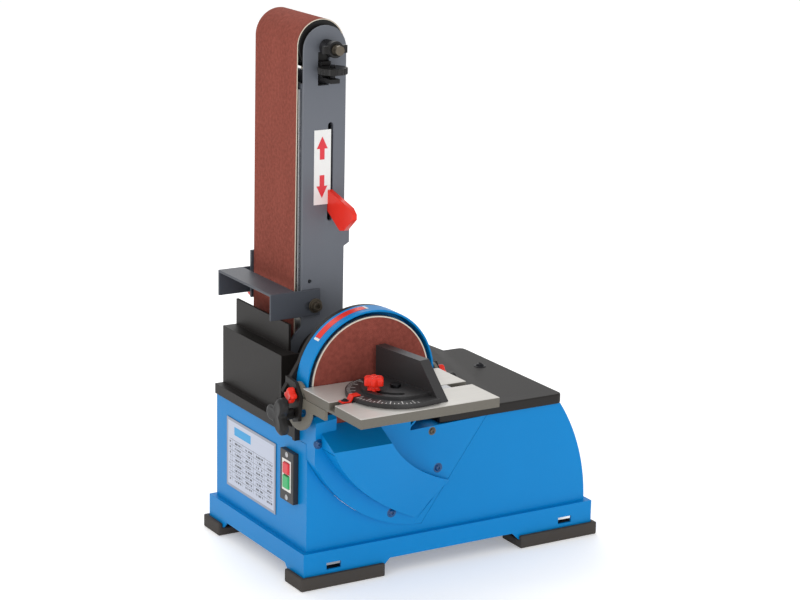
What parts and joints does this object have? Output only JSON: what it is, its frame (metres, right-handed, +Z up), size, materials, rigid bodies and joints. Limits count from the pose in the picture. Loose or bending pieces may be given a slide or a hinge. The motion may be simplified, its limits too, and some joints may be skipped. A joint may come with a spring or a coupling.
{
  "type": "belt disc sander",
  "caption": "Bench sander with an upright tilting belt arm, a vertical disc with a tilting slotted table and miter gauge, and a box base with dust scoop and rear dust port.",
  "frame": {"origin": "middle of the bounding box, on the surface the feet stand on", "axes": "+Z up along the upright arm, +X along the long side of the base, +Y from the disc table to the back"},
  "size_m": [0.43, 0.3856, 0.6239],
  "materials": {
    "blue_paint": "gloss powder coat",
    "black_body": "satin black coat",
    "black_cover": "textured black plastic",
    "black_plastic": "moulded, lightly textured",
    "drive_rubber": "matt",
    "foot_rubber": "matt",
    "slate_paint": "satin grey coat",
    "dark_paint": "satin dark grey coat",
    "motor_paint": "matt coat",
    "cast_alu": "machined casting",
    "steel": "turned or drawn",
    "zinc": "zinc plated",
    "black_oxide": "black oxide",
    "abrasive": "coated grit on cloth",
    "red_plastic": "moulded",
    "green_plastic": "moulded",
    "label": "printed foil"
  },
  "bodies": {
    "base": {"foot_front_left": "foot_rubber", "foot_front_right": "foot_rubber", "foot_rear_left": "foot_rubber", "foot_rear_right": "foot_rubber", "base_housing": "blue_paint", "front_panel": "blue_paint", "disc_guard": "blue_paint", "front_casting": "black_body", "spindle_housing": "black_body", "bearing_front": "steel", "bearing_rear": "steel", "transmission_belt": "drive_rubber", "motor_body": "motor_paint", "motor_bracket": "steel", "top_cover": "black_cover", "belt_housing": "black_cover", "dust_port": "black_plastic", "cord_gland": "black_plastic", "rating_plate": "label", "switch_box": "black_plastic", "arm_lock_bolt": "black_oxide"},
    "spindle": {"spindle_shaft": "steel", "disc_plate": "cast_alu", "abrasive_disc": "abrasive", "driven_pulley": "steel", "drive_drum": "cast_alu"},
    "rotor": {"motor_shaft": "steel", "motor_pulley": "steel"},
    "stop_switch": {"stop_button": "red_plastic"},
    "start_switch": {"start_button": "green_plastic"},
    "arm": {"arm_frame": "slate_paint", "platen": "steel", "abrasive_belt": "abrasive", "lever_pin": "steel", "tension_spring": "steel", "work_stop_bracket": "dark_paint", "work_stop_screw": "black_oxide"},
    "lever": {"tension_lever": "red_plastic"},
    "carriage": {"idler_carriage": "zinc", "idler_axle": "steel", "tracking_stud": "steel", "tracking_spring": "zinc"},
    "roller": {"idler_roller": "cast_alu"},
    "wing_nut": {"tracking_wing_nut": "black_plastic"},
    "wheel": {"tracking_wheel": "black_plastic"},
    "belt_stop": {"work_stop": "dark_paint"},
    "belt_stop_knob": {"work_stop_knob": "red_plastic"},
    "table": {"disc_table": "cast_alu", "trunnion_left": "slate_paint", "trunnion_right": "slate_paint"},
    "left_pivot_knob": {"pivot_knob_left": "red_plastic"},
    "right_pivot_knob": {"pivot_knob_right": "red_plastic"},
    "left_lock_knob": {"table_lock_knob_left": "black_plastic"},
    "right_lock_knob": {"table_lock_knob_right": "black_plastic"},
    "miter": {"miter_bar": "steel", "miter_pointer": "red_plastic", "miter_pivot_screw": "black_oxide"},
    "miter_swing": {"miter_head": "dark_paint"},
    "miter_clamp": {"miter_knob": "red_plastic"}
  },
  "joints": [
    {"name": "spindle_spin", "type": "hinge", "parent": "base", "child": "spindle", "pos_m": [-0.1, 0.03085, 0.234], "axis": [0, 1, 0], "continuous": true},
    {"name": "motor_spin", "type": "hinge", "parent": "base", "child": "rotor", "pos_m": [0.073, -0.00915, 0.097], "axis": [0, 1, 0], "continuous": true},
    {"name": "arm_tilt", "type": "hinge", "parent": "base", "child": "arm", "pos_m": [-0.1, 0.05085, 0.234], "axis": [0, 1, 0], "range_deg": [0, 89]},
    {"name": "carriage_slide", "type": "slide", "parent": "arm", "child": "carriage", "axis": [0, 0, -1], "range_m": [0, 0.01]},
    {"name": "lever_swing", "type": "hinge", "parent": "arm", "child": "lever", "pos_m": [-0.092, 0.06085, 0.419], "axis": [-1, 0, 0], "range_deg": [0, 75]},
    {"name": "idler_spin", "type": "hinge", "parent": "carriage", "child": "roller", "pos_m": [-0.1, 0.10885, 0.59364], "axis": [0, 1, 0], "continuous": true},
    {"name": "wing_nut_turn", "type": "hinge", "parent": "carriage", "child": "wing_nut", "pos_m": [-0.1, 0.02785, 0.59364], "axis": [0, 1, 0], "range_deg": [-180, 180]},
    {"name": "tracking_turn", "type": "hinge", "parent": "carriage", "child": "wheel", "pos_m": [-0.1015, 0.02885, 0.57], "axis": [0, 0, 1], "range_deg": [-180, 180]},
    {"name": "belt_stop_slide", "type": "slide", "parent": "arm", "child": "belt_stop", "axis": [-1, 0, 0], "range_m": [0, 0.005]},
    {"name": "belt_stop_knob_turn", "type": "hinge", "parent": "arm", "child": "belt_stop_knob", "pos_m": [-0.112, 0.18085, 0.297], "axis": [0, 1, 0], "range_deg": [-180, 180]},
    {"name": "table_tilt", "type": "hinge", "parent": "base", "child": "table", "pos_m": [-0.1002, -0.05515, 0.229], "axis": [1, 0, 0], "range_deg": [0, 45]},
    {"name": "left_pivot_knob_turn", "type": "hinge", "parent": "base", "child": "left_pivot_knob", "pos_m": [-0.197, -0.05515, 0.229], "axis": [1, 0, 0], "range_deg": [-180, 180]},
    {"name": "right_pivot_knob_turn", "type": "hinge", "parent": "base", "child": "right_pivot_knob", "pos_m": [-0.003, -0.05515, 0.229], "axis": [1, 0, 0], "range_deg": [-180, 180]},
    {"name": "left_lock_knob_turn", "type": "hinge", "parent": "base", "child": "left_lock_knob", "pos_m": [-0.209, -0.05133, 0.20733], "axis": [1, 0, 0], "range_deg": [-180, 180]},
    {"name": "right_lock_knob_turn", "type": "hinge", "parent": "base", "child": "right_lock_knob", "pos_m": [0.008, -0.05133, 0.20733], "axis": [1, 0, 0], "range_deg": [-180, 180]},
    {"name": "miter_slide", "type": "slide", "parent": "table", "child": "miter", "axis": [1, 0, 0], "range_m": [-0.04, 0.04]},
    {"name": "miter_swivel", "type": "hinge", "parent": "miter", "child": "miter_swing", "pos_m": [-0.1083, -0.13035, 0.242], "axis": [0, 0, 1], "range_deg": [-68, 52]},
    {"name": "miter_clamp_turn", "type": "hinge", "parent": "miter", "child": "miter_clamp", "pos_m": [-0.1357, -0.13035, 0.255], "axis": [0, 0, 1], "range_deg": [-180, 180]},
    {"name": "stop_push", "type": "slide", "parent": "base", "child": "stop_switch", "axis": [1, 0, 0], "range_m": [0, 0.0025], "stiffness_N_per_m": 800, "springref_m": -0.001},
    {"name": "start_push", "type": "slide", "parent": "base", "child": "start_switch", "axis": [1, 0, 0], "range_m": [0, 0.0025], "stiffness_N_per_m": 800, "springref_m": -0.001}
  ],
  "couplings": [
    {"joint": "motor_spin", "follows": "spindle_spin", "ratio": 1.2294},
    {"joint": "idler_spin", "follows": "spindle_spin", "ratio": 1.0572},
    {"joint": "lever_swing", "follows": "carriage_slide", "rad_per_m": 130}
  ]
}
